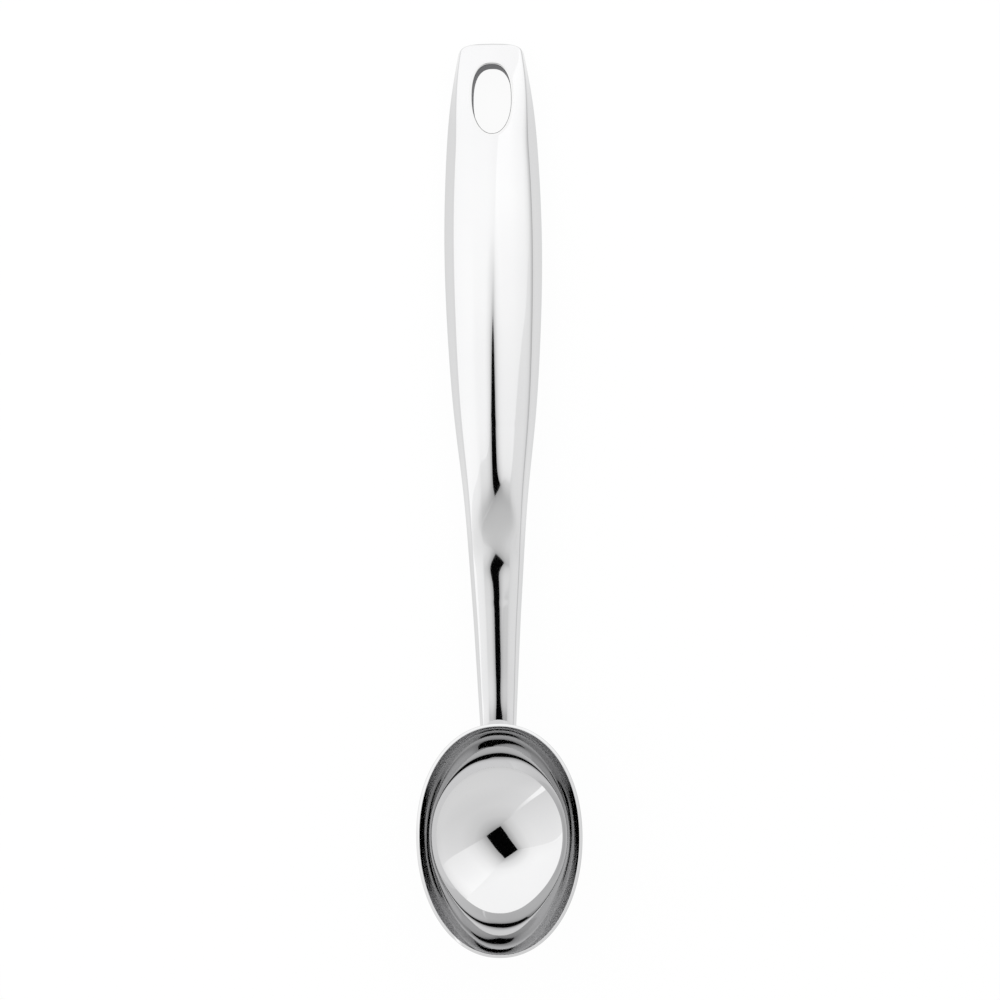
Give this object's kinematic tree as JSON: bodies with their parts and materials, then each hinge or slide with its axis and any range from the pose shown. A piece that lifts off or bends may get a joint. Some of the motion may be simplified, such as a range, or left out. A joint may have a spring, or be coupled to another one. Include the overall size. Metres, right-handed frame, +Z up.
{
  "type": "ice cream scoop",
  "caption": "Polished steel ice cream scoop: a deep oval bowl on a narrow neck, and a waisted hollow handle with a thumb dimple and a lined oval hanging hole.",
  "frame": {"origin": "middle of the overall box, on the table that the scoop lies on", "axes": "+X across the handle, +Y from the bowl towards the tail, +Z up out of the open bowl"},
  "size_m": [0.0402, 0.22, 0.023],
  "materials": {
    "bowl_polish": "mirror-polished stainless steel sheet, pressed",
    "handle_polish": "mirror-polished stainless steel sheet, pressed in halves",
    "sleeve_steel": "drawn stainless steel tube, smooth but less polished than the outside",
    "weld_steel": "stainless steel weld metal, ground flush and polished"
  },
  "bodies": {
    "root": {"bowl": "bowl_polish", "handle_top_shell": "handle_polish", "handle_bottom_shell": "handle_polish", "hanging_sleeve": "sleeve_steel", "seam_weld": "weld_steel", "neck_weld": "weld_steel"}
  },
  "joints": []
}
